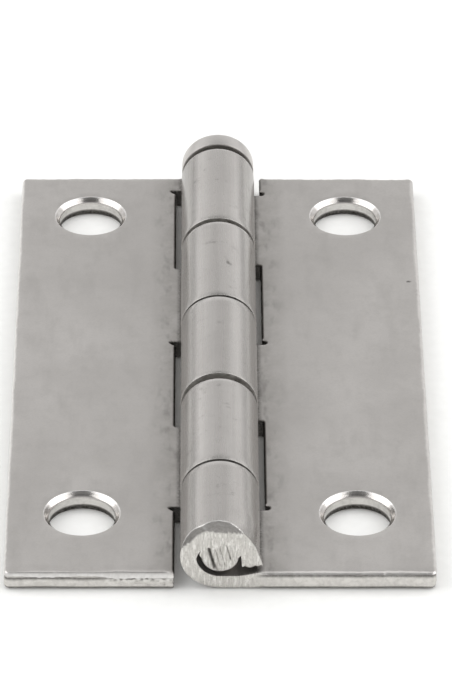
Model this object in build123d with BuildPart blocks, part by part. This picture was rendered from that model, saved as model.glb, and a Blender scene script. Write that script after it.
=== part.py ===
"""Butt hinge, open flat: two stainless leaves with rolled knuckles on a fixed, headed pin.

X runs across the two leaves, Y along the pin towards its head, and Z up out of the backs of
the leaves, which lie on Z = 0. The three-knuckle leaf is on the +X side and holds the pin. The
two-knuckle leaf is on the -X side and swings. The origin is under the middle of the whole
hinge. All sizes are in millimetres.
"""

import os
from math import cos, radians, sin

from build123d import *

# The leaves
leaf_length = 76.0
open_width = 44.5
leaf_thickness = 2.0
corner_radius = 0.6

# The pin. Places along the hinge, here and below, are measured from its near end
pin_diameter = 4.0
pin_clearance = 0.1  # radial, in every knuckle
pin_end_chamfer = 0.3
head_diameter = 8.1
head_start = 73.4
head_edge_radius = 0.6
stake_depth = 0.8  # how far the upset lip of the pin reaches into the end knuckle
stake_height = 0.4  # of the lip's lower edge above the pin's axis

# The knuckles: where each one starts and ends along the hinge
fixed_knuckles = [(0.0, 11.27), (27.4, 42.15), (57.85, 72.4)]
swinging_knuckles = [(11.57, 26.4), (42.45, 57.15)]
knuckle_tip_height = 2.8  # of the rolled strap's cut end above the back of the leaf
notch_clearance = 0.6  # from a knuckle's outside to the edge of the other leaf
relief_width = 0.5
relief_depth = 0.5  # how far each relief slit runs into the leaf

# The swinging leaf's short tongue beside the pin's head
tongue_start = 73.2
tongue_edge = 3.8  # its distance from the pin's axis, across the hinge

# The flats ground on the rim of the end knuckle: direction about the axis, distance from it
ground_flats = [(86.0, 3.0), (133.0, 3.4)]
flat_slope = 1.6  # how far each flat faces the near end for every 1 that it faces outwards

# The screw holes
hole_diameter = 7.0
hole_chamfer = 0.5
hole_offset = 14.35  # from the pin's axis
hole_places = [10.6, 68.0]

# Worked out from the sizes above
bore_radius = pin_diameter / 2 + pin_clearance
barrel_radius = bore_radius + leaf_thickness
axis_height = barrel_radius
notch_edge = barrel_radius + notch_clearance
half_width = open_width / 2
near_end = -leaf_length / 2


def cross_plane(place):
    """The plane across the hinge at a place along it, facing the near end."""
    return Plane.XZ.offset(-(near_end + place))


def knuckle_profile():
    """The section of a strap rolled round the pin, ending in a straight, square-cut tip."""
    with BuildSketch() as profile:
        with BuildLine():
            Line((notch_edge, 0), (0, 0))
            CenterArc((0, axis_height), barrel_radius, -90, -270)
            Line((barrel_radius, axis_height), (barrel_radius, knuckle_tip_height))
            Line((barrel_radius, knuckle_tip_height), (bore_radius, knuckle_tip_height))
            Line((bore_radius, knuckle_tip_height), (bore_radius, axis_height))
            CenterArc((0, axis_height), bore_radius, 0, 270)
            Line((0, leaf_thickness), (notch_edge, leaf_thickness))
            Line((notch_edge, leaf_thickness), (notch_edge, 0))
        make_face()
    return profile.sketch


def build_leaf(knuckles, relief_places, has_tongue):
    """Builds a leaf on the +X side: plate, rolled knuckles, relief slits and screw holes."""
    relief_centres = [(notch_edge, near_end + place) for place in relief_places]
    hole_centres = [(hole_offset, near_end + place, leaf_thickness) for place in hole_places]
    with BuildPart() as leaf:
        with BuildSketch(Plane.XY):
            with Locations((notch_edge, near_end)):
                outline = Rectangle(
                    half_width - notch_edge, leaf_length, align=(Align.MIN, Align.MIN)
                )
            fillet(outline.vertices().group_by(Axis.X)[-1], radius=corner_radius)
            if has_tongue:
                with Locations((tongue_edge, near_end + tongue_start)):
                    Rectangle(
                        notch_edge - tongue_edge,
                        leaf_length - tongue_start,
                        align=(Align.MIN, Align.MIN),
                    )
        extrude(amount=leaf_thickness)

        for start, end in knuckles:
            with BuildSketch(cross_plane(start)):
                add(knuckle_profile())
            extrude(amount=start - end)

        with BuildSketch(Plane.XY):
            with Locations(*relief_centres):
                SlotOverall(2 * relief_depth, relief_width)
        extrude(amount=leaf_thickness, mode=Mode.SUBTRACT)

        with Locations(*hole_centres):
            CounterSinkHole(
                hole_diameter / 2, hole_diameter / 2 + hole_chamfer, counter_sink_angle=90
            )
    return leaf.part


# The fixed leaf, with three knuckles. A relief slit follows each knuckle, and flats are ground
# on the rim of the end one
with BuildPart() as three_knuckle_leaf:
    fixed_reliefs = [end + relief_width / 2 for start, end in fixed_knuckles]
    add(build_leaf(fixed_knuckles, fixed_reliefs, has_tongue=False))
    for angle, distance in ground_flats:
        outward_x = cos(radians(angle))
        outward_z = sin(radians(angle))
        on_face = (distance * outward_x, near_end, axis_height + distance * outward_z)
        flat = Plane(origin=on_face, z_dir=(outward_x, -flat_slope, outward_z))
        split(bisect_by=flat, keep=Keep.BOTTOM)
three_knuckle_leaf.part.label = "three_knuckle_leaf"

# The swinging leaf, with two knuckles, built on the +X side and mirrored across the pin. A
# relief slit comes before each knuckle and before the tongue
swinging_starts = [start for start, end in swinging_knuckles] + [tongue_start]
swinging_reliefs = [start - relief_width / 2 for start in swinging_starts]
plain_leaf = build_leaf(swinging_knuckles, swinging_reliefs, has_tongue=True)
with BuildPart() as two_knuckle_leaf:
    mirror(plain_leaf, about=Plane.YZ)
two_knuckle_leaf.part.label = "two_knuckle_leaf"

# The pin: shank, rounded head, and the lip of its near end staked against the end knuckle
with BuildPart() as hinge_pin:
    with BuildSketch(cross_plane(0)):
        with Locations((0, axis_height)):
            Circle(pin_diameter / 2)
    extrude(amount=-head_start)
    chamfer(hinge_pin.edges().sort_by(Axis.Y)[0], length=pin_end_chamfer)

    with BuildSketch(cross_plane(head_start)):
        with Locations((0, axis_height)):
            Circle(head_diameter / 2)
    extrude(amount=head_start - leaf_length)
    fillet(hinge_pin.edges().sort_by(Axis.Y)[-1], radius=head_edge_radius)

    with BuildSketch(cross_plane(0)):
        with Locations((0, axis_height)):
            Circle(bore_radius)
        with Locations((0, axis_height + stake_height)):
            Rectangle(
                2 * bore_radius,
                bore_radius,
                align=(Align.CENTER, Align.MIN),
                mode=Mode.INTERSECT,
            )
    extrude(amount=-stake_depth)
hinge_pin.part.label = "hinge_pin"

os.makedirs("parts", exist_ok=True)
for piece in (three_knuckle_leaf, two_knuckle_leaf, hinge_pin):
    export_step(piece.part, f"parts/{piece.part.label}.step")
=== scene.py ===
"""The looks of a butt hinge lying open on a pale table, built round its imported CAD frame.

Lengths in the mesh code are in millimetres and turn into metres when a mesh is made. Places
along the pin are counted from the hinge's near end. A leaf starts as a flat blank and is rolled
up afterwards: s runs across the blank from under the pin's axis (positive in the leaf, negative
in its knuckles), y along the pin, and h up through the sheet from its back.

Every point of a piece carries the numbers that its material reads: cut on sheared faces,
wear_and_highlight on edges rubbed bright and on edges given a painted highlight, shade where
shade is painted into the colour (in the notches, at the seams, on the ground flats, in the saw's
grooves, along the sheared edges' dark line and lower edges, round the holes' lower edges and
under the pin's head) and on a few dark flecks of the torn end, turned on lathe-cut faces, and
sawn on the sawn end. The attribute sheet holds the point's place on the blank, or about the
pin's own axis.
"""

import math

import bmesh
import bpy
import numpy as np
from mathutils import Matrix, Vector, geometry, kdtree, noise


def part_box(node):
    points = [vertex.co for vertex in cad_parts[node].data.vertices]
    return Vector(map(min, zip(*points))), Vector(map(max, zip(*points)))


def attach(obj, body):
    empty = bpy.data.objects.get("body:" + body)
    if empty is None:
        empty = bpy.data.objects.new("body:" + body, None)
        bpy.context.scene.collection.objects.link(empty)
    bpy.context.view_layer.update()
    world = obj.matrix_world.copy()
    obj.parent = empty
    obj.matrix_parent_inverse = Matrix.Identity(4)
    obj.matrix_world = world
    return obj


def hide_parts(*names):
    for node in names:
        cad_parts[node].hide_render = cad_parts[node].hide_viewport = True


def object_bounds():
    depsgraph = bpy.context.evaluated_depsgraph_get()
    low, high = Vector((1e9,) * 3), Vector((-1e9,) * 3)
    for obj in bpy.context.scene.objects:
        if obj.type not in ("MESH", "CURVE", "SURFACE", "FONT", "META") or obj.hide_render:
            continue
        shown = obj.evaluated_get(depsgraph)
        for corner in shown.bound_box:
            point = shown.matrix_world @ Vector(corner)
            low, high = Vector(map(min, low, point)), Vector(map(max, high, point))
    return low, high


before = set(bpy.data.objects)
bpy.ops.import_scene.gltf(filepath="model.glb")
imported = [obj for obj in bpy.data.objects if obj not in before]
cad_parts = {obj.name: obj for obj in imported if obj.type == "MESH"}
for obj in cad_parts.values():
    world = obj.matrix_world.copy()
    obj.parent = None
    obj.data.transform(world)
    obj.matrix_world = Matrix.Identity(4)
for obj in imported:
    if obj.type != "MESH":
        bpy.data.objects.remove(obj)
cad_low, cad_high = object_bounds()

MM = 0.001

# Sizes read from the frame
fixed_low, fixed_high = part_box("three_knuckle_leaf")
pin_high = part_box("hinge_pin")[1]
NEAR = fixed_low.y / MM
LENGTH = (fixed_high.y - fixed_low.y) / MM
HALF_WIDTH = fixed_high.x / MM
BARREL_RADIUS = fixed_high.z / MM / 2
AXIS_HEIGHT = BARREL_RADIUS
HEAD_RADIUS = pin_high.x / MM

# Sizes of the design that the frame's boxes don't give
THICKNESS = 2.0
PIN_RADIUS = 2.0
HEAD_START = 73.4
HEAD_EDGE = 0.6
FIXED_KNUCKLES = [(0.0, 11.27), (27.4, 42.15), (57.85, 72.4)]
SWINGING_KNUCKLES = [(11.57, 26.4), (42.45, 57.15)]
TIP_HEIGHT = 2.8
NOTCH = BARREL_RADIUS + 0.6
TONGUE_START = 73.2
TONGUE_EDGE = 3.8
LEAF_CORNER = 0.6
HOLE_RADIUS = 3.5
HOLE_CHAMFER = 0.5
HOLE_OFFSET = 14.35
HOLE_PLACES = [10.6, 68.0]

# The flats ground on the end knuckle: direction about the axis in degrees, distance from it,
# and painted shade
GROUND_FLATS = [(86.0, 3.0, 0.55), (133.0, 3.4, 0.66)]
FLAT_SLOPE = 1.6  # how far each flat faces the near end for every 1 that it faces outwards
GROUND_END = 2.0  # how far along the pin the grinding reaches

# Worked out from the sizes above
MID_RADIUS = BARREL_RADIUS - THICKNESS / 2
FULL_TURN = 1.5 * math.pi
ROLL_END = -FULL_TURN * MID_RADIUS
TIP = ROLL_END - (AXIS_HEIGHT - TIP_HEIGHT)

# Details of the blanks. A spur is two more corners before a root, each (s, y, radius) from it
CUT_CORNER = 0.3
POCKET_DEPTH = 0.42
SPUR = [(0.66, 0.04, 0.06), (0.0, -0.62, 0.4)]

# A sheared edge: how far in and down its rolled-over top goes, how bright that is worn and lit
# by a painted highlight, and how high in the sheet its torn line lies, along which runs a dark
# line of painted shade
FIXED_SHEAR = {"reach": 0.4, "drop": 0.19, "wear_and_highlight": 0.62, "torn_line": 0.8}
SWINGING_SHEAR = {"reach": 0.26, "drop": 0.38, "wear_and_highlight": 0.98, "torn_line": 0.63}
SLOT_REACH = 0.26  # the same in the notches between the knuckles
SLOT_DROP = 0.14
ROUGHNESS = 0.035  # of the torn part, which also lies this far behind the top edge
SHEAR_LEVELS = (0.06, 0.12, 0.18, 0.25, 0.33, 0.42, 0.54, 0.66, 0.78, 0.9)

# Painted shade on the knuckles' end faces at the seams, as (place, amount): most in the tight
# seams between two knuckles
FIXED_SEAMS = [(end, 0.55) for start, end in FIXED_KNUCKLES[:2]]
FIXED_SEAMS += [(start, 0.4) for start, end in FIXED_KNUCKLES[1:]]
SWINGING_SEAMS = [(start, 0.55) for start, end in SWINGING_KNUCKLES]

# Down a screw hole's wall, and round its lower edge, which is darkened with painted shade
HOLE_WALL = (1.2, 1.0, 0.82, 0.66)
HOLE_FOOT_IN = 0.08
HOLE_FOOT_HEIGHT = 0.62
HOLE_FOOT_SHADE = (0.5, 1, 1, 1, 1, 0)

# The pin's details
LIP = 0.13  # how far the staked lip stands out of the shank
END_EDGE = 0.34  # the round edge of the sawn end, away from the lip
NECK_FILLET = 0.25
UNDER_EDGE = 0.12
CROWN = 0.12

# The saw's strokes lean by SAW_TILT. Each deep one is (place across, half width, depth, lower
# end, upper end)
SAW_TILT = math.radians(14)
SAW_CUTS = [
    (-0.9, 0.13, 0.3, -1.4, 1.25),
    (-0.74, 0.07, 0.12, -1.9, -0.9),
    (0.95, 0.05, 0.14, -0.7, 1.2),
    (0.2, 0.06, 0.08, -1.3, 1.2),
    (1.35, 0.05, 0.06, -1.1, 1.2),
    (-0.3, 0.07, 0.09, -1.2, 1.1),
]

# How finely the meshes are cut
EDGE_STEP = 0.13
ROLL_STEP = 0.18
PLATE_STEP = 1.3
LONG_STEP = 1.1
END_STEP = 0.14
END_ZONE = 1.2
EDGE_GAP = 0.1  # from an outline to the first points inside it
PIN_SEGMENTS = 192
SHARP_ANGLE = math.radians(38)

# Colours
STEEL = (0.53, 0.508, 0.488)
STEEL_PALE = (0.60, 0.577, 0.556)
STEEL_DULL = (0.43, 0.411, 0.393)
STEEL_DULLEST = (0.36, 0.342, 0.322)
BARE_CUT = (0.58, 0.56, 0.535)
BARE_CUT_PALE = (0.76, 0.74, 0.71)
SAWN_DARK = (0.40, 0.385, 0.36)
SAWN_FACE = (0.66, 0.642, 0.612)
SAWN_BRIGHT = (0.88, 0.865, 0.835)
# The pale colour lights worn edges and painted highlights; the dark one is for grime, pits and
# painted shade
BRIGHT_EDGE = (0.82, 0.805, 0.785)
GRIME_AND_SHADE = (0.035, 0.032, 0.028)
TABLE_WHITE = (0.93, 0.93, 0.915)
TABLE_PALE = (0.96, 0.96, 0.945)

# The sky's brightness from the horizon to high up, the table's distance below the leaves, and
# the side lights' size in metres
SKY_HORIZON = 0.55
SKY_LEVELS = [(0.1, 0.65), (0.24, 1.14), (0.36, 1.01), (0.5, 0.76), (0.62, 0.825)]
SKY_TOP = (0.82, 0.13)
TABLE_GAP = 0.12
SIDE_BOX_SIZE = (0.8, 0.75)

# The camera: focal length and film width in mm, place in metres, and angles in radians
CAMERA_LENS = 279.9
CAMERA_FILM = 36
CAMERA_PLACE = (-0.00271, cad_low.y - 0.44485, 0.32993)
CAMERA_PITCH = 0.59315
CAMERA_YAW = 0.0072
CAMERA_TILT = 0.0045


# ---------------------------------------------------------------- small helpers

def ramp(low, high, value):
    """0 at low, 1 at high, and a smooth step between them. Low may be the larger one."""
    t = np.clip((value - low) / (high - low), 0, 1)
    return t * t * (3 - 2 * t)


def hump(centre, width, value):
    """1 at centre, falling smoothly to 0 on both sides."""
    return np.exp(-(((value - centre) / width) ** 2))


def grain(points, scale, seed):
    """Smooth noise between about -1 and 1 at two- or three-dimensional points."""
    shift = Vector((seed * 7.31, seed * 3.77, seed * 1.93))
    padded = np.zeros((len(points), 3))
    padded[:, : points.shape[1]] = points * scale
    return np.array([noise.noise(Vector(p) + shift) for p in padded])


def unit(vector):
    return vector / np.linalg.norm(vector)


def quarter(steps):
    """Evenly spaced angles from 0 to a right angle."""
    return [math.pi / 2 * k / steps for k in range(steps + 1)]


def strip(first, second, count):
    """The faces between two closed rows of count points, whose first points are given."""
    steps = [(i, (i + 1) % count) for i in range(count)]
    return [(first + i, first + j, second + j, second + i) for i, j in steps]


def finish_mesh(name, vertices, faces, attributes, body, node, material):
    """Makes a piece with its attributes and material, ties it to its body, and hides its CAD
    node.
    """
    mesh = bpy.data.meshes.new(name)
    mesh.from_pydata((np.array(vertices) * MM).tolist(), [], faces)
    for label, values in attributes.items():
        values = np.asarray(values, np.float32)
        kind = "FLOAT" if values.ndim == 1 else "FLOAT_VECTOR"
        layer = mesh.attributes.new(label, kind, "POINT")
        layer.data.foreach_set("value" if values.ndim == 1 else "vector", values.ravel())

    # Points that no face uses go, and every face turns outwards
    shell = bmesh.new()
    shell.from_mesh(mesh)
    unused = [corner for corner in shell.verts if not corner.link_faces]
    bmesh.ops.delete(shell, geom=unused, context="VERTS")
    bmesh.ops.recalc_face_normals(shell, faces=shell.faces)
    shell.to_mesh(mesh)
    shell.free()

    mesh.shade_smooth()
    mesh.set_sharp_from_angle(angle=SHARP_ANGLE)
    mesh.materials.append(material)
    piece = bpy.data.objects.new(name, mesh)
    bpy.context.scene.collection.objects.link(piece)
    shading = piece.modifiers.new("even_shading", "WEIGHTED_NORMAL")
    shading.mode = "FACE_AREA"
    shading.keep_sharp = True
    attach(piece, body)
    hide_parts(node)
    return piece


# ---------------------------------------------------------------- blanks

def rounded_outline(corners):
    """A closed outline of evenly spaced points through (s, y, radius) corners."""
    path = []
    count = len(corners)
    for i, (s, y, radius) in enumerate(corners):
        here = np.array((s, y))
        back = unit(np.array(corners[i - 1][:2]) - here)
        on = unit(np.array(corners[(i + 1) % count][:2]) - here)
        half = math.acos(np.clip(back @ on, -1, 1)) / 2
        centre = here + unit(back + on) * radius / math.sin(half)
        first = here + back * radius / math.tan(half) - centre
        last = here + on * radius / math.tan(half) - centre
        for t in np.linspace(0, 1, 9):
            path.append(centre + unit(first * (1 - t) + last * t) * radius)
    path = np.array(path + path[:1])
    along = np.concatenate([[0], np.cumsum(np.linalg.norm(np.diff(path, axis=0), axis=1))])
    places = np.linspace(0, along[-1], round(along[-1] / EDGE_STEP), endpoint=False)
    return np.stack([np.interp(places, along, path[:, k]) for k in (0, 1)], 1)


def circle(s, y, radius):
    """A hole's outline, taken clockwise so that the sheet is on the left."""
    count = round(2 * math.pi * radius / EDGE_STEP)
    turns = -np.linspace(0, 2 * math.pi, count, endpoint=False)
    return np.stack([s + radius * np.cos(turns), y + radius * np.sin(turns)], 1)


def inward(outline):
    """The direction into the sheet at each point of an outline."""
    run = np.roll(outline, -1, 0) - np.roll(outline, 1, 0)
    run /= np.linalg.norm(run, axis=1)[:, None]
    return np.stack([-run[:, 1], run[:, 0]], 1)


def room_at_corners(outline):
    """How far in a row may go at each point before the rows of a sharp corner would cross."""
    step = np.roll(outline, -1, 0) - outline
    heading = np.arctan2(step[:, 1], step[:, 0])
    turn = np.angle(np.exp(1j * (heading - np.roll(heading, 1))))
    tightest = np.max([np.roll(turn, k) for k in range(-3, 4)], axis=0)
    room = np.clip(0.55 * EDGE_STEP / np.maximum(tightest, 0.01), 0.04, 0.6)
    return np.mean([np.roll(room, k) for k in range(-2, 3)], axis=0)


def fixed_corners():
    """The three-knuckle blank. A small round pocket follows each knuckle's root."""
    corners = [
        (HALF_WIDTH, 0, LEAF_CORNER),
        (HALF_WIDTH, LENGTH, LEAF_CORNER),
        (NOTCH, LENGTH, CUT_CORNER),
    ]
    for start, end in reversed(FIXED_KNUCKLES):
        corners += [
            (NOTCH, end + 0.58, 0.12),
            (NOTCH + POCKET_DEPTH, end + 0.5, 0.18),
            (NOTCH + POCKET_DEPTH, end, 0.18),
            (TIP, end, CUT_CORNER),
            (TIP, start, CUT_CORNER),
        ]
        if start > 0:
            corners.append((NOTCH, start, 0.25))
    return corners


def swinging_corners():
    """The two-knuckle blank, with its tongue. A pointed spur comes before each root."""
    corners = [
        (HALF_WIDTH, 0, LEAF_CORNER),
        (HALF_WIDTH, LENGTH, LEAF_CORNER),
        (TONGUE_EDGE, LENGTH, CUT_CORNER),
        (TONGUE_EDGE, TONGUE_START, CUT_CORNER),
    ]
    corners += [(NOTCH + s, TONGUE_START + y, radius) for s, y, radius in SPUR]
    for start, end in reversed(SWINGING_KNUCKLES):
        corners += [(NOTCH, end, 0.2), (TIP, end, CUT_CORNER), (TIP, start, CUT_CORNER)]
        corners += [(NOTCH + s, start + y, radius) for s, y, radius in SPUR]
    corners.append((NOTCH, 0, CUT_CORNER))
    return corners


def sheared_edge(outline, sawn_end):
    """Rows down a blank's edge, each (how far in, height, cut, wear_and_highlight, shade, turned,
    sawn).
    """
    style = FIXED_SHEAR if sawn_end else SWINGING_SHEAR
    s, y = outline[:, 0], outline[:, 1]
    none = np.zeros(len(s))
    patchy = grain(outline, 0.22, 3)
    ragged = grain(outline, 2.2, 5)

    # Where each kind of edge is. The knuckles, their notches and the sawn end are cut clean,
    # and the swinging leaf's near end is torn beside its barrel
    inner = (y > 0.3) & (y < LENGTH - 0.3)
    knuckle = np.where(inner, 1 - ramp(5.35, 5.8, s), 1 - ramp(3.4, 4.65, s))
    slot_wall = inner * ramp(0.6, 1.6, s) * knuckle
    tip = 1 - ramp(TIP + 0.1, TIP + 0.4, s)
    sawn = (y < 0.2) * (1 - ramp(3.2, 5.0, s)) if sawn_end else none
    under_pin = sawn * ramp(-4.0, -1.0, s)
    torn_end = (y < 0.3) * ramp(3.5, 4.5, s) * (1 - ramp(10.5, 13.0, s)) * (not sawn_end)
    plain = np.maximum(knuckle, sawn)
    # Painted shade on the notches' walls and on the knuckles' end faces at the seams
    notch_and_seam_shade = 0.8 * slot_wall
    for place, amount in FIXED_SEAMS if sawn_end else SWINGING_SEAMS:
        notch_and_seam_shade = np.maximum(notch_and_seam_shade, amount * hump(place, 0.3, y) * (s < 0.6))

    # How far in and up or down the upper and lower edges go
    wavy = 1 + 0.45 * patchy + 0.25 * ragged + 0.5 * torn_end
    top_in = style["reach"] * (1 - plain) * wavy + SLOT_REACH * slot_wall + 0.05
    top_drop = style["drop"] * (1 - plain) * wavy + SLOT_DROP * slot_wall + 0.03
    clean_foot = (0.05 + 0.14 * tip) * knuckle * (1 - sawn) + 0.03
    foot_in = (0.26 + 0.06 * patchy) * (1 - knuckle) + 0.3 * under_pin + clean_foot
    foot_drop = (0.34 + 0.08 * patchy) * (1 - knuckle) + 0.4 * under_pin + clean_foot
    room = room_at_corners(outline)
    top_in, foot_in = np.minimum(top_in, room), np.minimum(foot_in, room)

    rows = []
    # The rolled-over top: brightened where worn and by a painted highlight, with painted shade at
    # the notches' edges
    for share in (0, 0.25, 0.5, 0.75, 1):
        inset = top_in * (1 - share)
        height = THICKNESS - top_drop * share * share
        wear_and_highlight = share * (style["wear_and_highlight"] - 0.6 * knuckle)
        rows.append((inset, height, none, wear_and_highlight, slot_wall * min(1, 1.5 * share)))
    # Along the torn line runs a dark line of painted shade
    torn_line = style["torn_line"] + 0.035 * patchy + 0.02 * ragged
    for share in SHEAR_LEVELS:
        height = (THICKNESS - top_drop) * (1 - share) + foot_drop * share
        level = height / THICKNESS
        dark = hump(torn_line, 0.085, level) * (1 - plain) * (0.85 - 0.5 * torn_end)
        torn = grain(np.stack([s, y, height * 1.3], 1), 2.6, 8)
        rough = ROUGHNESS * torn * (1 - ramp(0.62, 0.74, level)) * (1 - 0.8 * plain)
        rough = rough + 0.09 * torn_end * grain(np.stack([s, y, height * 1.6], 1), 3.1, 9)
        inset = 0.1 * dark + rough + ROUGHNESS + 0.06 * torn_end
        flecks = torn_end * ramp(0.0, 0.3, torn) * ramp(0.35, 0.6, level)
        dark = np.maximum(dark, 0.75 * torn_end * ramp(0.0, -0.3, torn) * ramp(0.4, 0.6, level))
        rows.append((inset, height, none + 1, 0.9 * flecks, np.maximum(dark, notch_and_seam_shade)))
    # The rolled lower edge: knuckle and tip edges brightened where worn and by a painted
    # highlight, and painted shade on the leaf's lower edge
    for turn in quarter(4):
        inset = foot_in * (1 - math.cos(turn)) + ROUGHNESS * math.cos(turn)
        height = foot_drop * (1 - math.sin(turn))
        wear_and_highlight = knuckle * math.sin(turn) * (0.12 + 0.85 * tip)
        edge_foot_shade = np.maximum(notch_and_seam_shade * math.cos(turn), 0.8 * (1 - knuckle) * math.sin(2 * turn))
        rows.append((inset, height, none + math.cos(turn), wear_and_highlight, edge_foot_shade))
    return [(*row, none, sawn) for row in rows]


def screw_hole_edge(outline):
    """Rows down a screw hole: a turned cone, a torn wall, and a rolled lower edge."""
    top = THICKNESS
    rim = HOLE_CHAMFER
    cone = [  # each is (how far in, height, wear, turned)
        (rim + 0.05, top, 0, 0),
        (rim + 0.015, top - 0.008, 0.8, 1),
        (rim - 0.02, top - 0.03, 0.8, 1),
        (rim * 0.68, top - rim * 0.37, 0, 1),
        (rim * 0.36, top - rim * 0.69, 0, 1),
        (0.03, top - rim + 0.02, 0, 1),
        (0.005, top - rim - 0.02, 0, 1),
        (0.0, top - rim - 0.06, 0, 1),
    ]
    none = np.zeros(len(outline))
    rows = []
    for inset, height, wear_and_highlight, turned in cone:
        rows.append((none + inset, none + height, none, none + wear_and_highlight, none, none + turned, none))
    for height in HOLE_WALL:
        torn = grain(np.column_stack([outline, none + height]), 2.4, 11)
        inset = 0.012 + 0.012 * torn
        rows.append((inset, none + height, none + 1, none + 0.45, none, none, none))
    # Painted shade round the hole's lower edge
    for shade_amount, turn in zip(HOLE_FOOT_SHADE, quarter(len(HOLE_FOOT_SHADE) - 1)):
        inset = none + HOLE_FOOT_IN * (1 - math.cos(turn))
        height = none + HOLE_FOOT_HEIGHT * (1 - math.sin(turn))
        rows.append((inset, height, none + (height > 0), none, none + shade_amount, none, none))
    return rows


def interior_grid(outline, holes, sawn_end):
    """Points inside a blank, close together where it is rolled and at a sawn end."""
    rolled = np.arange(TIP, NOTCH + 0.6, ROLL_STEP)
    plate = np.arange(NOTCH + 1, HALF_WIDTH, PLATE_STEP)
    rows = np.arange(0.5, LENGTH, LONG_STEP)
    grid = [(s, y) for s in np.concatenate([rolled, plate]) for y in rows]
    if sawn_end:
        near_rows = np.arange(END_STEP, END_ZONE, END_STEP)
        grid += [(s, y) for s in np.arange(TIP, 0, END_STEP) for y in near_rows]
    tree = kdtree.KDTree(len(outline) + sum(len(h) for h in holes))
    for i, (s, y) in enumerate(np.concatenate([outline, *holes])):
        tree.insert((s, y, 0), i)
    tree.balance()
    grid = np.array([p for p in grid if tree.find((*p, 0))[2] > EDGE_GAP])

    # A point is inside if the outline passes to its right an odd number of times
    inside = np.zeros(len(grid), bool)
    for (s1, y1), (s2, y2) in zip(outline, np.roll(outline, -1, 0)):
        crossing = (y1 > grid[:, 1]) != (y2 > grid[:, 1])
        if crossing.any():
            s_at = s1 + (grid[:, 1] - y1) * (s2 - s1) / (y2 - y1)
            inside ^= crossing & (grid[:, 0] < s_at)
    for hole in holes:
        centre = hole.mean(0)
        reach = np.linalg.norm(hole - centre, axis=1).max()
        inside &= np.linalg.norm(grid - centre, axis=1) > reach
    return grid[inside]


def fill(loops, grid):
    """Triangles over a blank's face, as places in the list of all loop and grid points."""
    points = np.concatenate([*loops, grid])
    edges = []
    first = 0
    for loop in loops:
        count = len(loop)
        edges += [(first + i, first + (i + 1) % count) for i in range(count)]
        first += count
    result = geometry.delaunay_2d_cdt([Vector(p) for p in points], edges, [], 1, 1e-7)
    lost = [tuple(result[0][i]) for i, ids in enumerate(result[3]) if not ids]
    if lost:
        raise ValueError(f"the outline crosses itself near {lost[:8]} ({len(lost)} places)")
    origin = [ids[0] for ids in result[3]]
    centres = [loop.mean(0) for loop in loops[1:]]
    reaches = [np.linalg.norm(l - c, axis=1).mean() for l, c in zip(loops[1:], centres)]
    triangles = []
    for face in result[2]:
        triangle = [origin[i] for i in face]
        middle = points[triangle].mean(0)
        if all(np.linalg.norm(middle - c) > reach for c, reach in zip(centres, reaches)):
            triangles.append(triangle)
    return triangles


# ---------------------------------------------------------------- leaves

def leaf(node, corners, sawn_end, mirrored, body, material):
    """Builds a leaf from its blank: edges, holes, both faces, and then the roll."""
    outline = rounded_outline(corners)
    rings = [circle(HOLE_OFFSET, y, HOLE_RADIUS) for y in HOLE_PLACES]
    profiles = [sheared_edge(outline, sawn_end), *[screw_hole_edge(r) for r in rings]]

    flat, height, looks, faces = [], [], [], []
    tops, feet = [], []
    total = 0
    for loop, rows in zip([outline, *rings], profiles):
        normal = inward(loop)
        count = len(loop)
        for inset, level, *look in rows:
            flat.append(loop + normal * inset[:, None])
            height.append(level)
            looks.append(np.stack(look, 1))
        for r in range(len(rows) - 1):
            faces += strip(total + r * count, total + (r + 1) * count, count)
        tops.append((total, flat[-len(rows)]))
        feet.append((total + (len(rows) - 1) * count, flat[-1]))
        total += count * len(rows)

    grid = interior_grid(tops[0][1], [loop for first, loop in tops[1:]], sawn_end)
    for sides, level in ((tops, THICKNESS), (feet, 0.0)):
        numbers = [first + np.arange(len(loop)) for first, loop in sides]
        numbers = np.concatenate([*numbers, total + np.arange(len(grid))])
        for triangle in fill([loop for first, loop in sides], grid):
            faces.append(tuple(int(numbers[i]) for i in triangle))
        flat.append(grid)
        height.append(np.full(len(grid), level))
        looks.append(np.zeros((len(grid), looks[0].shape[1])))
        total += len(grid)

    flat, height, looks = np.concatenate(flat), np.concatenate(height), np.concatenate(looks)
    points = roll(flat[:, 0], flat[:, 1], height, sawn_end)
    if sawn_end:
        grind(points, looks)
    points[:, 1] += NEAR
    if mirrored:
        points[:, 0] *= -1
    attributes = {
        "sheet": np.column_stack([flat, height]),
        "cut": looks[:, 0],
        "wear_and_highlight": looks[:, 1],
        "shade": looks[:, 2],
        "turned": looks[:, 3],
        "sawn": looks[:, 4],
    }
    name = node + "_rolled"
    return finish_mesh(name, points, faces, attributes, body, node, material)


def roll(s, y, h, sawn_end):
    """Rolls blank points up: straight, three quarters of a turn round the pin, straight tip."""
    turn = np.clip(-s / MID_RADIUS, 0, FULL_TURN)
    outwards, sideways, upwards = bent_end(s, y, h) if sawn_end else (0, 0, 0)
    radius = BARREL_RADIUS - h + outwards
    x = np.maximum(s, 0) - radius * np.sin(turn) + sideways
    z = AXIS_HEIGHT - radius * np.cos(turn) - np.maximum(ROLL_END - s, 0) + upwards
    return np.stack([x, y, z], 1)


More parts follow.
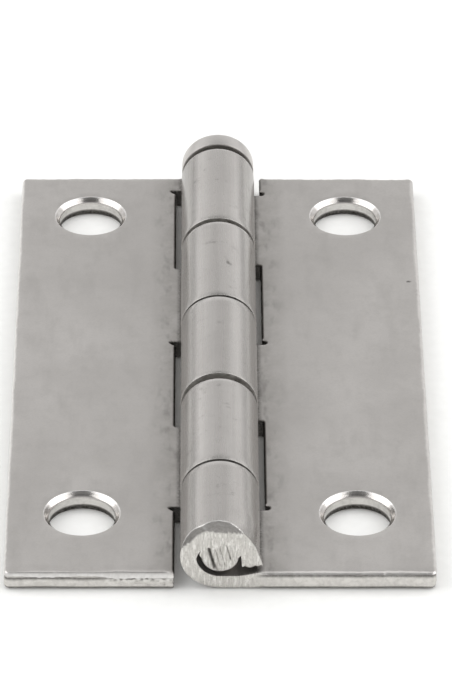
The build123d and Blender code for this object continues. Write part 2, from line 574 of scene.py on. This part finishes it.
def bent_end(s, y, h):
    """How far the end knuckle's points are bent outwards, sideways and upwards."""
    level = h / THICKNESS

    # The strap gapes under the pin, and its free side is knocked in
    gape = ramp(-6.2, -4.2, s) * (1 - ramp(1.6, 4.2, s)) * (1 - 0.8 * ramp(0.5, 6, y)) * (y < 12)
    knocked = hump(-12.6, 2.1, s) * (1 - ramp(0.2, 3.2, y))
    outwards = 0.38 * gape * ramp(0.2, 1, level) - 0.42 * knocked * (1 - level)

    # The tip is splayed, and the saw has torn its lower end
    near = 1 - ramp(0.1, 2.2, y)
    sideways = 0.3 * ramp(ROLL_END + 0.6, TIP, s) * near * (1 - 0.6 * level)
    torn = grain(np.stack([h, y, s * 0.2], 1), 3.3, 14)
    torn = torn + 0.6 * grain(np.stack([h, y, s], 1), 7.0, 15)
    upwards = 0.4 * torn * ramp(TIP + 0.5, TIP, s) * (1 - ramp(0.1, 0.8, y))
    return outwards, sideways, upwards


def grind(points, looks):
    """Presses the end knuckle's rim onto its ground flats, which are bare and darkened with
    painted shade, and edged with a painted highlight.
    """
    for angle, distance, shade_amount in GROUND_FLATS:
        outward = np.array((math.cos(math.radians(angle)), 0, math.sin(math.radians(angle))))
        normal = unit(outward - np.array((0, FLAT_SLOPE, 0)))
        start = outward * distance + np.array((0, 0, AXIS_HEIGHT))
        over = (points - start) @ normal
        near = points[:, 1] < GROUND_END
        pressed = (over > 0) & near
        # A painted highlight along the flats' rim
        rim = hump(-0.04, 0.09, over) * (points[:, 1] > 0.12) * near
        points[pressed] -= over[pressed, None] * normal
        looks[pressed] = (0.5, 0, shade_amount, 0, 0)
        looks[:, 1] = np.maximum(looks[:, 1], rim)


# ---------------------------------------------------------------- pin

def pin_rings(around):
    """The pin from its sawn near end to its head, as rings of (radius, y, wear_and_highlight,
    turned, sawn).
    """
    rings = []

    def ring(radius, y, wear_and_highlight=0.0, turned=0.0, sawn=0.0):
        values = (radius, y, wear_and_highlight, turned, sawn)
        rings.append([np.broadcast_to(value, around.shape) for value in values])

    # The sawn face, its edge, and the staked lip over the upper half
    lip = ramp(-0.18, 0.12, np.sin(around))
    end_radius = PIN_RADIUS + LIP * lip
    edge = END_EDGE - (END_EDGE - 0.005) * lip
    for share in np.linspace(0.03, 1, 30):
        ring((end_radius - edge) * share, 0, sawn=1)
    for turn in quarter(6)[1:]:
        radius = end_radius - edge * (1 - math.sin(turn))
        ring(radius, edge * (1 - math.cos(turn)), wear_and_highlight=0.3, sawn=1 - turn / 2)
    for y in (0.6, 0.75, 0.9):
        ring(PIN_RADIUS + LIP * lip * (1 - ramp(0.5, 0.9, y)), y, turned=1)

    # The shank, and the fillet under the head
    for y in np.linspace(2, HEAD_START - 0.3, 24):
        ring(PIN_RADIUS, y, turned=1)
    for turn in quarter(4):
        radius = PIN_RADIUS + NECK_FILLET * (1 - math.cos(turn))
        ring(radius, HEAD_START - NECK_FILLET * (1 - math.sin(turn)), turned=1)

    # The head: its underside, rim and rounded edge, and the turned crown with its fine rings
    neck = PIN_RADIUS + NECK_FILLET
    for share in (0.35, 0.7):
        ring(neck + (HEAD_RADIUS - UNDER_EDGE - neck) * share, HEAD_START)
    for turn in quarter(3):
        radius = HEAD_RADIUS - UNDER_EDGE * (1 - math.sin(turn))
        ring(radius, HEAD_START + UNDER_EDGE * (1 - math.cos(turn)))
    shoulder = LENGTH - CROWN
    for turn in quarter(8):
        radius = HEAD_RADIUS - HEAD_EDGE * (1 - math.cos(turn))
        ring(radius, shoulder - HEAD_EDGE * (1 - math.sin(turn)), wear_and_highlight=0.1, turned=0.2)
    for share in np.linspace(0.97, 0.03, 32):
        rise = CROWN * (1 - share * share) + 0.004 * math.sin(share * 95) - 0.006
        ring((HEAD_RADIUS - HEAD_EDGE) * share, shoulder + rise, turned=1)
    return rings


def saw_cuts(points, sawn):
    """Sinks the saw's deeper strokes into the pin's cut end, and returns the painted shade in
    them.
    """
    across = points[:, 0] * math.cos(SAW_TILT) + points[:, 2] * math.sin(SAW_TILT)
    down = -points[:, 0] * math.sin(SAW_TILT) + points[:, 2] * math.cos(SAW_TILT)
    shade_amount = np.zeros(len(points))
    for place, width, depth, low, high in SAW_CUTS:
        stretch = ramp(low - 0.2, low + 0.2, down) * (1 - ramp(high - 0.2, high + 0.2, down))
        groove = hump(place, width, across) * stretch * (sawn > 0.5)
        points[:, 1] += depth * groove
        shade_amount = np.maximum(shade_amount, min(0.8, 2.6 * depth) * groove)
    return shade_amount


def pin(material):
    """Turns the pin: sawn near end with its staked lip, shank, and rounded head."""
    around = np.linspace(0, 2 * math.pi, PIN_SEGMENTS, endpoint=False)
    rings = pin_rings(around)
    points, looks = [], []
    for radius, y, *look in rings:
        points.append(np.stack([radius * np.cos(around), y, radius * np.sin(around)], 1))
        looks.append(np.stack(look, 1))
    points, looks = np.concatenate(points), np.concatenate(looks)
    shade_amount = saw_cuts(points, looks[:, 2])
    y = points[:, 1]
    # Painted shade under the head
    under_head = (y > HEAD_START - 0.1) & (y < HEAD_START + 0.9 * UNDER_EDGE)
    shade_amount = np.maximum(shade_amount, 0.5 * under_head)

    # The two middle points, which close the ends
    last = len(points)
    points = np.concatenate([points, [(0, points[0, 1], 0), (0, LENGTH, 0)]])
    looks = np.concatenate([looks, [(0, 0, 1), (0, 1, 0)]])
    faces = []
    for r in range(len(rings) - 1):
        faces += strip(r * PIN_SEGMENTS, (r + 1) * PIN_SEGMENTS, PIN_SEGMENTS)
    far = last - PIN_SEGMENTS
    for i in range(PIN_SEGMENTS):
        j = (i + 1) % PIN_SEGMENTS
        faces.append((i, j, last))
        faces.append((far + i, far + j, last + 1))

    attributes = {
        "sheet": points.copy(),
        "cut": np.zeros(len(points)),
        "wear_and_highlight": looks[:, 0],
        "shade": np.append(shade_amount, (0, 0)),
        "turned": looks[:, 1],
        "sawn": looks[:, 2],
    }
    points[:, 1] += NEAR
    points[:, 2] += AXIS_HEIGHT
    return finish_mesh(
        "hinge_pin_turned", points, faces, attributes,
        "fixed_leaf", "hinge_pin", material,
    )


# ---------------------------------------------------------------- materials

class Graph:
    """A material's node tree, with short calls for the nodes that the steels need."""

    def __init__(self, name):
        self.material = bpy.data.materials.new(name)
        self.material.use_nodes = True
        self.nodes = self.material.node_tree.nodes
        self.links = self.material.node_tree.links
        self.shader = self.nodes["Principled BSDF"]

    def put(self, kind, inputs, **settings):
        node = self.nodes.new(kind)
        for key, value in settings.items():
            setattr(node, key, value)
        for key, value in inputs.items():
            if isinstance(value, bpy.types.NodeSocket):
                self.links.new(value, node.inputs[key])
            else:
                node.inputs[key].default_value = value
        return node

    def attribute(self, name):
        node = self.put("ShaderNodeAttribute", {}, attribute_name=name)
        return node.outputs["Vector" if name == "sheet" else "Fac"]

    def object_place(self):
        return self.put("ShaderNodeTexCoord", {}).outputs["Object"]

    def math(self, operation, a, b=0.0):
        return self.put("ShaderNodeMath", {0: a, 1: b}, operation=operation).outputs[0]

    def times(self, first, *others):
        for other in others:
            first = self.math("MULTIPLY", first, other)
        return first

    def stretch(self, vector, scale, turn=0.0):
        inputs = {"Vector": vector, "Scale": scale, "Rotation": (0, turn, 0)}
        return self.put("ShaderNodeMapping", inputs).outputs[0]

    def noise(self, vector, scale, detail=3.0, roughness=0.55):
        inputs = {"Vector": vector, "Scale": scale, "Detail": detail, "Roughness": roughness}
        return self.put("ShaderNodeTexNoise", inputs).outputs["Fac"]

    def spread(self, value, low, high, to_low, to_high):
        """The value taken evenly from low..high to to_low..to_high, and kept inside that."""
        inputs = {"Value": value, "From Min": low, "From Max": high}
        inputs.update({"To Min": to_low, "To Max": to_high})
        return self.put("ShaderNodeMapRange", inputs).outputs["Result"]

    def blend(self, share, a, b):
        """Colour a where share is 0, and b where it is 1."""
        node = self.put("ShaderNodeMix", {0: share}, data_type="RGBA")
        for socket, value in ((node.inputs[6], a), (node.inputs[7], b)):
            if isinstance(value, bpy.types.NodeSocket):
                self.links.new(value, socket)
            else:
                socket.default_value = (*value, 1)
        return node.outputs[2]

    def mix(self, share, a, b):
        """Number a where share is 0, and b where it is 1."""
        node = self.put("ShaderNodeMix", {0: share, 2: a, 3: b}, data_type="FLOAT")
        return node.outputs[0]

    def bump(self, height, strength, distance, under=None):
        inputs = {"Height": height, "Strength": strength, "Distance": distance}
        if under:
            inputs["Normal"] = under
        return self.put("ShaderNodeBump", inputs).outputs[0]


def steel(name, seed, is_leaf):
    """Satin rolled stainless, with its cut, worn, turned and sawn surfaces."""
    g = Graph(name)
    sheet = g.attribute("sheet")
    cut, wear_and_highlight, shade = g.attribute("cut"), g.attribute("wear_and_highlight"), g.attribute("shade")
    turned, sawn = g.attribute("turned"), g.attribute("sawn")
    shift = (seed * 13.7, seed * 31.1, seed * 5.3)
    place = g.put("ShaderNodeVectorMath", {0: sheet, 1: shift}).outputs[0]
    flat_only = g.math("SUBTRACT", 1.0, g.math("MAXIMUM", cut, sawn))

    # The rolled surface: broad stains, small mottling, and a fine grain along the pin
    stain = g.noise(place, 0.09, 4.0, 0.6)
    cloud = g.noise(g.stretch(place, (0.5, 0.16, 0.5)), 1.0, 3.0)
    mottle = g.noise(place, 0.62, 3.0, 0.6)
    brush = g.noise(g.stretch(place, (9.0, 0.22, 9.0)), 1.0, 4.0, 0.7)
    fine = g.noise(place, 4.2, 3.0, 0.7)
    coarse = g.noise(place, 1.9, 4.0, 0.65)
    colour = g.blend(g.spread(stain, 0.36, 0.64, 0, 1), STEEL, STEEL_PALE)
    colour = g.blend(g.spread(cloud, 0.52, 0.8, 0, 0.5), colour, STEEL_DULL)
    colour = g.blend(g.spread(mottle, 0.5, 0.75, 0, 0.28), colour, STEEL_DULL)
    colour = g.blend(g.spread(brush, 0.3, 0.7, 0.0, 0.16), colour, STEEL_PALE)
    colour = g.blend(g.spread(fine, 0.42, 0.7, 0.0, 0.22), colour, STEEL_DULL)
    rough = g.spread(brush, 0.25, 0.75, 0.33, 0.41)
    rough = g.mix(g.spread(stain, 0.4, 0.7, 0, 0.5), rough, 0.46)
    if is_leaf:
        colour, rough = rolled_barrel(g, sheet, place, colour, rough, fine)

    # A few dark specks, which are small pits
    spots = g.put("ShaderNodeTexVoronoi", {"Vector": place, "Scale": 0.13, "Randomness": 1.0})
    spot_hue = g.put("ShaderNodeSeparateColor", {0: spots.outputs["Color"]}).outputs[0]
    chosen = g.math("GREATER_THAN", spot_hue, 0.35)
    speck_size = g.spread(g.noise(place, 2.0), 0.35, 0.7, 0.015, 0.05)
    depth = g.math("SUBTRACT", speck_size, spots.outputs["Distance"])
    speck = g.times(g.spread(depth, -0.014, 0.015, 0.0, 0.75), chosen, flat_only)

    # Sheared faces and edges
    patchy_cut = g.blend(g.spread(coarse, 0.35, 0.7, 0, 1), BARE_CUT, BARE_CUT_PALE)
    patchy_cut = g.blend(g.spread(mottle, 0.52, 0.62, 0, 0.7), patchy_cut, BARE_CUT_PALE)
    colour = g.blend(cut, colour, patchy_cut)
    rough = g.mix(cut, rough, g.spread(coarse, 0.3, 0.7, 0.38, 0.6))
    rough = g.mix(turned, rough, g.spread(fine, 0.3, 0.7, 0.15, 0.22))

    # The sawn end: dark and bright strokes over a torn, mottled face
    streaks, strokes = saw_streaks(g)
    torn = g.noise(place, 3.4, 3.0, 0.7)
    least_pale = 0.35 if is_leaf else 0.1
    sawn_colour = g.blend(g.spread(streaks, 0.36, 0.56, least_pale, 1), SAWN_DARK, SAWN_FACE)
    sawn_colour = g.blend(g.spread(strokes, 0.5, 0.66, 0, 0.75), sawn_colour, SAWN_BRIGHT)
    sawn_colour = g.blend(g.spread(torn, 0.54, 0.7, 0, 0.6), sawn_colour, SAWN_DARK)
    colour = g.blend(sawn, colour, sawn_colour)
    rough = g.mix(sawn, rough, g.spread(streaks, 0.3, 0.7, 0.4, 0.6))

    # Edges worn or given a painted highlight, painted shade with a few dark flecks, and specks
    # lie over all of them
    colour = g.blend(g.times(wear_and_highlight, g.spread(coarse, 0.3, 0.6, 0.5, 1.0)), colour, BRIGHT_EDGE)
    colour = g.blend(g.times(shade, g.spread(fine, 0.3, 0.6, 0.75, 1.0)), colour, GRIME_AND_SHADE)
    colour = g.blend(speck, colour, GRIME_AND_SHADE)
    rough = g.mix(wear_and_highlight, rough, 0.3)
    g.links.new(colour, g.shader.inputs["Base Color"])
    g.links.new(rough, g.shader.inputs["Roughness"])

    normal = g.bump(brush, 0.35, 0.000012)
    normal = g.bump(g.times(stain, flat_only), 0.25, 0.00012, normal)
    normal = g.bump(g.times(mottle, flat_only), 0.25, 0.00002, normal)
    normal = g.bump(g.times(coarse, cut), 0.5, 0.00006, normal)
    normal = g.bump(g.times(g.math("ADD", streaks, torn), sawn), 1.0, 0.00007, normal)
    normal = g.bump(g.times(speck, -1.0), 0.6, 0.00004, normal)
    g.links.new(normal, g.shader.inputs["Normal"])
    g.shader.inputs["Metallic"].default_value = 1.0
    return g.material


def rolled_barrel(g, sheet, place, colour, rough, fine):
    """Marks of the rolling die on a leaf's knuckles, painted shade on their flanks and a painted
    highlight low on their side, and the leaf beside them darkened, with painted shade towards the
    barrel and in the crease.
    """
    split = g.put("ShaderNodeSeparateXYZ", {0: sheet})
    s, h = split.outputs[0], split.outputs[2]
    outside = g.times(g.spread(s, 0.0, -1.5, 0, 1), g.spread(h, 0.8, 0.3, 0, 1))
    angle = g.math("ADD", g.math("DIVIDE", s, MID_RADIUS), math.pi)
    flank = g.times(g.spread(g.math("ABSOLUTE", angle), 0.55, 1.0, 0, 1), outside)

    # Lines and bands along the barrel, smudges, flanks darkened with painted shade, and a painted
    # highlight low on the side where the roll ends
    lines = g.noise(g.stretch(place, (2.6, 0.05, 2.6)), 1.0, 4.0, 0.7)
    drawn = g.times(outside, g.spread(lines, 0.35, 0.65, 0.34, 0.5))
    colour = g.blend(drawn, colour, STEEL_DULL)
    bands = g.noise(g.stretch(place, (0.75, 0.012, 0.75)), 1.0, 2.0, 0.5)
    pale_band = g.times(outside, g.spread(bands, 0.42, 0.6, 0, 0.3))
    colour = g.blend(pale_band, colour, STEEL_PALE)
    dull_band = g.times(outside, g.spread(bands, 0.52, 0.36, 0, 0.3))
    colour = g.blend(dull_band, colour, STEEL_DULL)
    smudges = g.spread(g.noise(place, 0.8, 4.0, 0.7), 0.6, 0.75, 0, 0.35)
    colour = g.blend(g.times(outside, smudges), colour, GRIME_AND_SHADE)
    # Painted shade on the barrel's flanks
    colour = g.blend(g.times(flank, g.spread(lines, 0.3, 0.7, 0.25, 0.38)), colour, GRIME_AND_SHADE)
    # A painted highlight low on the barrel's side, where the roll ends
    painted_side_highlight = g.spread(s, ROLL_END + 1.2, ROLL_END + 0.5, 0, 0.4)
    colour = g.blend(g.times(painted_side_highlight, outside), colour, BRIGHT_EDGE)
    rough = g.mix(outside, rough, g.spread(lines, 0.3, 0.7, 0.22, 0.31))

    # The leaf beside its barrel is darker in blotches, and painted shade darkens it towards the
    # barrel and most of all in the crease itself
    on_top = g.spread(h, 1.7, 1.95, 0, 1)
    in_leaf = g.spread(s, 2.5, 3.5, 0, 1)
    beside = g.times(g.spread(s, 7.6, 5.2, 0, 1), in_leaf, on_top)
    patches = g.spread(g.noise(place, 0.45, 4.0, 0.7), 0.35, 0.65, 0.2, 0.85)
    colour = g.blend(g.times(beside, patches), colour, STEEL_DULLEST)
    blots = g.noise(g.stretch(place, (1.0, 0.4, 1.0)), 1.0, 2.0, 0.5)
    colour = g.blend(g.times(beside, g.spread(blots, 0.55, 0.72, 0, 0.4)), colour, GRIME_AND_SHADE)
    # Painted shade darkening the leaf towards its barrel
    broad = g.times(g.spread(s, 14.0, 5.5, 0, 0.36), in_leaf, on_top)
    colour = g.blend(broad, colour, STEEL_DULL)
    # Painted shade in the crease beside the barrel
    crease = g.times(g.spread(s, 4.65, 4.2, 0, 1), in_leaf, on_top)
    crease_shade = g.times(crease, g.spread(fine, 0.35, 0.6, 0.3, 0.7))
    return g.blend(crease_shade, colour, GRIME_AND_SHADE), rough


def saw_streaks(g):
    """Fine strokes and a few broad ones down the sawn faces, a little off the vertical."""
    where = g.object_place()
    fine = g.noise(g.stretch(where, (7000, 900, 700), SAW_TILT), 1.0, 4.0, 0.7)
    broad = g.noise(g.stretch(where, (3600, 500, 800), SAW_TILT), 1.0, 3.0, 0.6)
    return fine, broad


def paper():
    """The pale table top: matt white with a very faint tooth."""
    g = Graph("table_white")
    tooth = g.noise(g.object_place(), 900.0, 3.0)
    colour = g.blend(g.spread(tooth, 0.3, 0.7, 0, 1), TABLE_WHITE, TABLE_PALE)
    g.links.new(colour, g.shader.inputs["Base Color"])
    g.links.new(g.bump(tooth, 0.05, 0.00002), g.shader.inputs["Normal"])
    g.shader.inputs["Roughness"].default_value = 0.85
    return g.material


leaf_material = steel("satin_stainless_leaf", 1, True)
swing_material = steel("satin_stainless_swinging_leaf", 2, True)
pin_material = steel("satin_stainless_pin", 3, False)

leaf("three_knuckle_leaf", fixed_corners(), True, False, "fixed_leaf", leaf_material)
leaf("two_knuckle_leaf", swinging_corners(), False, True, "swinging_leaf", swing_material)
pin(pin_material)


# ---------------------------------------------------------------- table, lights and camera

def table():
    """A wide round table top just under the leaves' backs."""
    top = bmesh.new()
    bmesh.ops.create_circle(top, cap_ends=True, segments=96, radius=4.0)
    mesh = bpy.data.meshes.new("table_top")
    top.to_mesh(mesh)
    top.free()
    mesh.materials.append(paper())
    board = bpy.data.objects.new("table_top", mesh)
    board.location.z = cad_low.z - TABLE_GAP * MM
    bpy.context.scene.collection.objects.link(board)


def softbox(name, place, size, watts, aim=(0, 0, 0)):
    """An area light of size (x, y) metres that faces a point."""
    light = bpy.data.lights.new(name, "AREA")
    light.shape = "RECTANGLE"
    light.size, light.size_y = size
    light.energy = watts
    box = bpy.data.objects.new(name, light)
    box.location = place
    box.rotation_euler = (Vector(aim) - Vector(place)).to_track_quat("-Z", "Y").to_euler()
    box.visible_camera = False
    bpy.context.scene.collection.objects.link(box)


def sky():
    """A grey studio: brightest a little above the horizon, and dark overhead."""
    world = bpy.data.worlds.new("studio")
    world.use_nodes = True
    nodes, links = world.node_tree.nodes, world.node_tree.links
    where = nodes.new("ShaderNodeTexCoord")
    split = nodes.new("ShaderNodeSeparateXYZ")
    shades = nodes.new("ShaderNodeValToRGB")
    links.new(where.outputs["Generated"], split.inputs[0])
    links.new(split.outputs["Z"], shades.inputs[0])
    links.new(shades.outputs[0], nodes["Background"].inputs["Color"])
    stops = shades.color_ramp.elements
    stops[0].position = 0.0
    stops[0].color = (SKY_HORIZON, SKY_HORIZON, SKY_HORIZON, 1)
    stops[1].position = SKY_TOP[0]
    stops[1].color = (SKY_TOP[1], SKY_TOP[1], SKY_TOP[1], 1)
    for position, level in SKY_LEVELS:
        stop = stops.new(position)
        stop.color = (level, level, level, 1)
    bpy.context.scene.world = world


def camera():
    """A long lens that looks down the hinge from its near end."""
    lens = bpy.data.cameras.new("camera")
    lens.lens = CAMERA_LENS
    lens.sensor_width = CAMERA_FILM
    lens.clip_start = 0.01
    body = bpy.data.objects.new("camera", lens)
    ahead = Vector((math.sin(CAMERA_YAW), math.cos(CAMERA_YAW), 0)) * math.cos(CAMERA_PITCH)
    forward = ahead - Vector((0, 0, math.sin(CAMERA_PITCH)))
    side = forward.cross(Vector((0, 0, 1))).normalized()
    up = side.cross(forward)
    right = side * math.cos(CAMERA_TILT) + up * math.sin(CAMERA_TILT)
    above = right.cross(forward)
    turn = Matrix((right, above, -forward)).transposed().to_4x4()
    body.matrix_world = Matrix.Translation(CAMERA_PLACE) @ turn
    bpy.context.scene.collection.objects.link(body)
    bpy.context.scene.camera = body


table()
sky()
softbox("left_softbox", (-0.62, 0.0, 0.5), SIDE_BOX_SIZE, watts=3.1, aim=(-0.45, 0, 0))
softbox("right_softbox", (0.62, 0.0, 0.5), SIDE_BOX_SIZE, watts=3.1, aim=(0.45, 0, 0))
softbox("top_softbox", (0.0, 0.08, 0.5), (0.4, 0.36), watts=0.5)
camera()
bpy.context.scene.view_settings.view_transform = "Standard"
